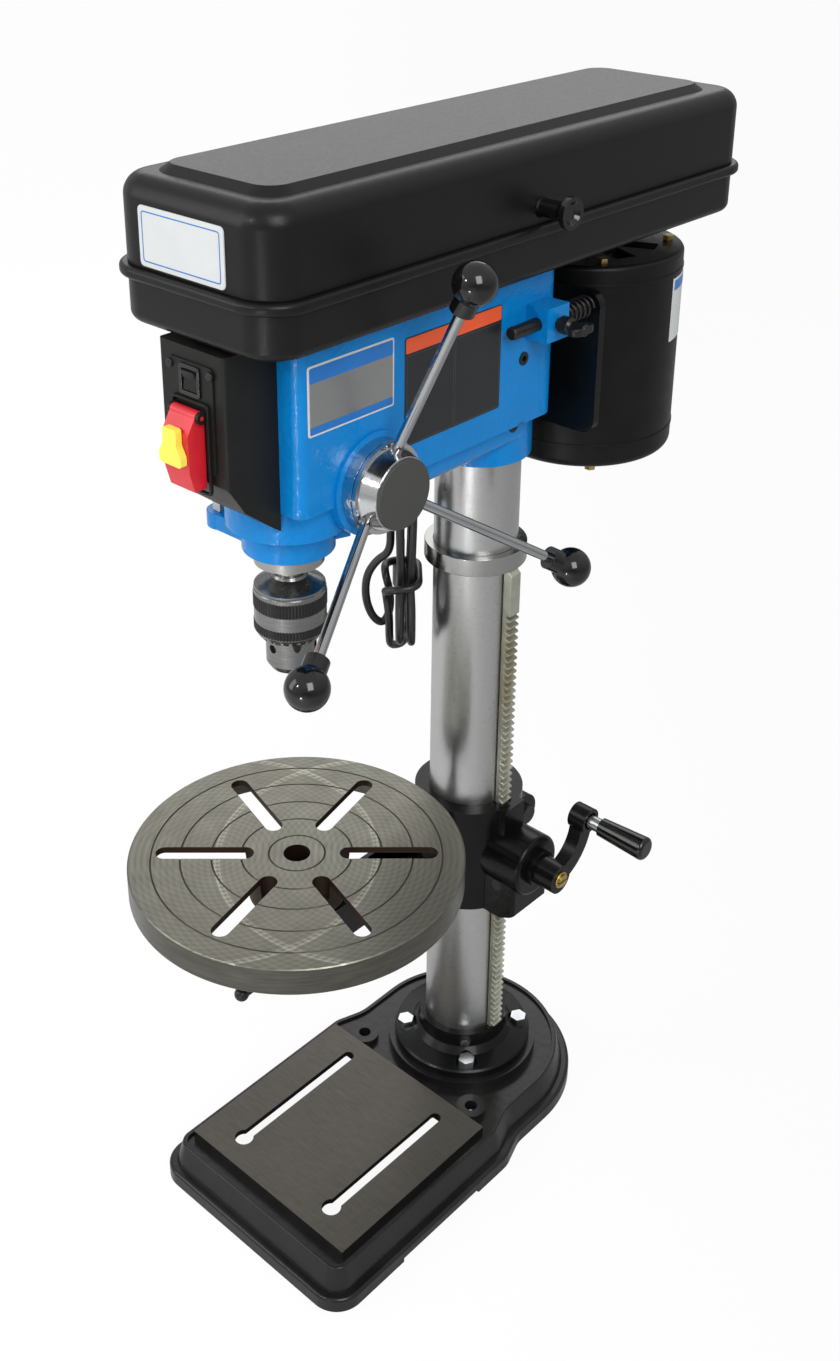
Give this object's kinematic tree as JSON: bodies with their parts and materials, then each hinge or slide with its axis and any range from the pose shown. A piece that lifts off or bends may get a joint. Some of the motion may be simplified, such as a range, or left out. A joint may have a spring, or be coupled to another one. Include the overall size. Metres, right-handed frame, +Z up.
{
  "type": "bench drill press",
  "caption": "Bench drill press with round slotted table on a rack column, three-spoke quill feed, keyed chuck, hinged belt housing and rear motor.",
  "frame": {"origin": "column axis at the level of the surface that the base stands on", "axes": "+Z up, -Y towards the operator and the spindle, +X towards the feed levers and the table crank"},
  "size_m": [0.29, 0.573, 0.8944],
  "materials": {
    "gloss_black": "gloss black enamel",
    "satin_black": "satin black powder coat",
    "blue_enamel": "gloss blue enamel",
    "bright_steel": "turned and polished steel",
    "dark_steel": "oiled steel",
    "chrome": "bright plated",
    "machined_iron": "machined grey iron",
    "aluminium": "die cast",
    "black_plastic": "moulded black",
    "gloss_plastic": "moulded gloss black",
    "red_plastic": "moulded red",
    "yellow_plastic": "moulded yellow",
    "rubber": "black rubber"
  },
  "bodies": {
    "frame": {"base_casting": "gloss_black", "column_flange": "gloss_black", "column_tube": "bright_steel", "frame_screws": "dark_steel", "rack_collar": "bright_steel", "head_casting": "blue_enamel", "belt_pan": "satin_black", "hinge_pins": "bright_steel", "switch_box": "satin_black", "switch_plate": "black_plastic", "spring_case": "satin_black", "return_spring": "dark_steel", "sleeve_bearings": "bright_steel", "front_belt": "rubber", "motor_belt": "rubber", "tension_spring": "dark_steel", "strain_relief": "rubber", "cord_lead": "rubber", "cord_hank": "rubber", "cord_plug": "rubber"},
    "rack": {"table_rack": "dark_steel"},
    "bracket": {"table_bracket": "gloss_black"},
    "crank": {"worm_shaft": "dark_steel", "crank_arm": "gloss_black"},
    "grip": {"crank_grip": "gloss_plastic"},
    "gear": {"lift_gear": "dark_steel"},
    "lock": {"column_lock_lever": "bright_steel"},
    "arm": {"table_arm": "gloss_black"},
    "table": {"work_table": "machined_iron"},
    "table_lever": {"table_clamp_lever": "dark_steel"},
    "cover": {"belt_cover": "satin_black", "cover_knob": "gloss_plastic"},
    "idler_link": {"idler_arm": "dark_steel"},
    "idler": {"idler_pulley": "aluminium"},
    "drive": {"spindle_pulley": "aluminium"},
    "quill": {"quill": "bright_steel", "quill_bearings": "bright_steel", "depth_collar": "blue_enamel", "depth_rod": "bright_steel"},
    "stop": {"depth_nuts": "bright_steel"},
    "spindle": {"spindle": "bright_steel", "chuck_body": "bright_steel"},
    "sleeve": {"chuck_sleeve": "bright_steel"},
    "jaw_1": {"chuck_jaw_1": "dark_steel"},
    "jaw_2": {"chuck_jaw_2": "dark_steel"},
    "jaw_3": {"chuck_jaw_3": "dark_steel"},
    "feed": {"pinion_shaft": "dark_steel", "feed_hub": "chrome", "feed_rods": "chrome", "feed_knobs": "gloss_plastic"},
    "motor": {"motor_shell": "satin_black", "motor_bells": "satin_black", "motor_plate": "gloss_black", "slide_rods": "dark_steel"},
    "rotor": {"motor_rotor": "dark_steel", "motor_pulley": "aluminium"},
    "wing": {"wing_screw": "dark_steel"},
    "paddle": {"switch_paddle": "red_plastic"},
    "key": {"safety_key": "yellow_plastic"},
    "rocker": {"light_rocker": "black_plastic"}
  },
  "joints": [
    {"name": "table_swing", "type": "hinge", "parent": "frame", "child": "rack", "pos_m": [0, 0, 0.3], "axis": [0, 0, 1], "range_deg": [-170, 170]},
    {"name": "crank_turn", "type": "hinge", "parent": "bracket", "child": "crank", "pos_m": [0.08, 0, 0.269], "axis": [1, 0, 0], "range_deg": [-6016.06, 7448.45]},
    {"name": "table_lift", "type": "slide", "parent": "rack", "child": "bracket", "axis": [0, 0, -1], "range_m": [-0.105, 0.13]},
    {"name": "lift_gear_turn", "type": "hinge", "parent": "bracket", "child": "gear", "pos_m": [0.053, 0, 0.25], "axis": [0, 1, 0], "range_deg": [-501.34, 620.7]},
    {"name": "crank_grip_spin", "type": "hinge", "parent": "crank", "child": "grip", "pos_m": [0.13, 0.03576, 0.31013], "axis": [1, 0, 0], "continuous": true},
    {"name": "column_lock", "type": "hinge", "parent": "bracket", "child": "lock", "pos_m": [0, 0.051, 0.27], "axis": [1, 0, 0], "range_deg": [-10, 100]},
    {"name": "table_tilt", "type": "hinge", "parent": "bracket", "child": "arm", "pos_m": [0, -0.07, 0.28], "axis": [0, 1, 0], "range_deg": [-45, 45]},
    {"name": "table_spin", "type": "hinge", "parent": "arm", "child": "table", "pos_m": [0, -0.2055, 0.34], "axis": [0, 0, 1], "continuous": true},
    {"name": "table_clamp", "type": "hinge", "parent": "arm", "child": "table_lever", "pos_m": [0, -0.2375, 0.291], "axis": [1, 0, 0], "range_deg": [-15, 90]},
    {"name": "feed_turn", "type": "hinge", "parent": "frame", "child": "feed", "pos_m": [0, -0.1725, 0.676], "axis": [1, 0, 0], "range_deg": [0, 327.4], "stiffness_Nm_per_rad": 0.3, "springref_deg": -171.89},
    {"name": "quill_feed", "type": "slide", "parent": "frame", "child": "quill", "axis": [0, 0, -1], "range_m": [0, 0.08]},
    {"name": "depth_stop", "type": "slide", "parent": "quill", "child": "stop", "axis": [0, 0, 1], "range_m": [-0.07, 0]},
    {"name": "motor_spin", "type": "hinge", "parent": "motor", "child": "rotor", "pos_m": [0, 0.133, 0.7], "axis": [0, 0, 1], "continuous": true},
    {"name": "idler_spin", "type": "hinge", "parent": "idler_link", "child": "idler", "pos_m": [0, -0.042, 0.83], "axis": [0, 0, 1], "continuous": true},
    {"name": "drive_spin", "type": "hinge", "parent": "frame", "child": "drive", "pos_m": [0, -0.2055, 0.83], "axis": [0, 0, 1], "continuous": true},
    {"name": "spindle_spin", "type": "hinge", "parent": "quill", "child": "spindle", "pos_m": [0, -0.2055, 0.65], "axis": [0, 0, 1], "continuous": true},
    {"name": "chuck_turn", "type": "hinge", "parent": "spindle", "child": "sleeve", "pos_m": [0, -0.2055, 0.575], "axis": [0, 0, 1], "range_deg": [0, 2520]},
    {"name": "jaw_1_slide", "type": "slide", "parent": "spindle", "child": "jaw_1", "axis": [0, -0.309, -0.9511], "range_m": [0, 0.014]},
    {"name": "jaw_2_slide", "type": "slide", "parent": "spindle", "child": "jaw_2", "axis": [0.2676, 0.1545, -0.9511], "range_m": [0, 0.014]},
    {"name": "jaw_3_slide", "type": "slide", "parent": "spindle", "child": "jaw_3", "axis": [-0.2676, 0.1545, -0.9511], "range_m": [0, 0.014]},
    {"name": "motor_slide", "type": "slide", "parent": "frame", "child": "motor", "axis": [0, 1, 0], "range_m": [-0.0075, 0], "deforming": ["motor_belt", "tension_spring"]},
    {"name": "idler_swing", "type": "hinge", "parent": "frame", "child": "idler_link", "pos_m": [-0.042, 0.01, 0.795], "axis": [0, 0, 1], "range_deg": [-8, 8], "deforming": ["front_belt"]},
    {"name": "wing_turn", "type": "hinge", "parent": "frame", "child": "wing", "pos_m": [0.07, 0.0015, 0.751], "axis": [1, 0, 0], "range_deg": [-180, 180]},
    {"name": "cover_hinge", "type": "hinge", "parent": "frame", "child": "cover", "pos_m": [-0.085, 0, 0.8324], "axis": [0, -1, 0], "range_deg": [0, 95]},
    {"name": "paddle_flip", "type": "hinge", "parent": "frame", "child": "paddle", "pos_m": [0, -0.2906, 0.748], "axis": [-1, 0, 0], "range_deg": [0, 60]},
    {"name": "key_pull", "type": "slide", "parent": "paddle", "child": "key", "axis": [0, -1, 0], "range_m": [0, 0.03]},
    {"name": "rocker_tip", "type": "hinge", "parent": "frame", "child": "rocker", "pos_m": [0, -0.285, 0.7685], "axis": [1, 0, 0], "range_deg": [-8, 8]}
  ],
  "couplings": [
    {"joint": "crank_turn", "follows": "table_lift", "rad_per_m": 1000},
    {"joint": "lift_gear_turn", "follows": "table_lift", "rad_per_m": 83.333},
    {"joint": "quill_feed", "follows": "feed_turn", "m_per_rad": 0.014},
    {"joint": "idler_spin", "follows": "motor_spin", "ratio": 0.67611},
    {"joint": "drive_spin", "follows": "motor_spin", "ratio": 0.55039},
    {"joint": "spindle_spin", "follows": "motor_spin", "ratio": 0.55039},
    {"joint": "jaw_1_slide", "follows": "chuck_turn", "m_per_rad": 0.00031831},
    {"joint": "jaw_2_slide", "follows": "chuck_turn", "m_per_rad": 0.00031831},
    {"joint": "jaw_3_slide", "follows": "chuck_turn", "m_per_rad": 0.00031831}
  ]
}
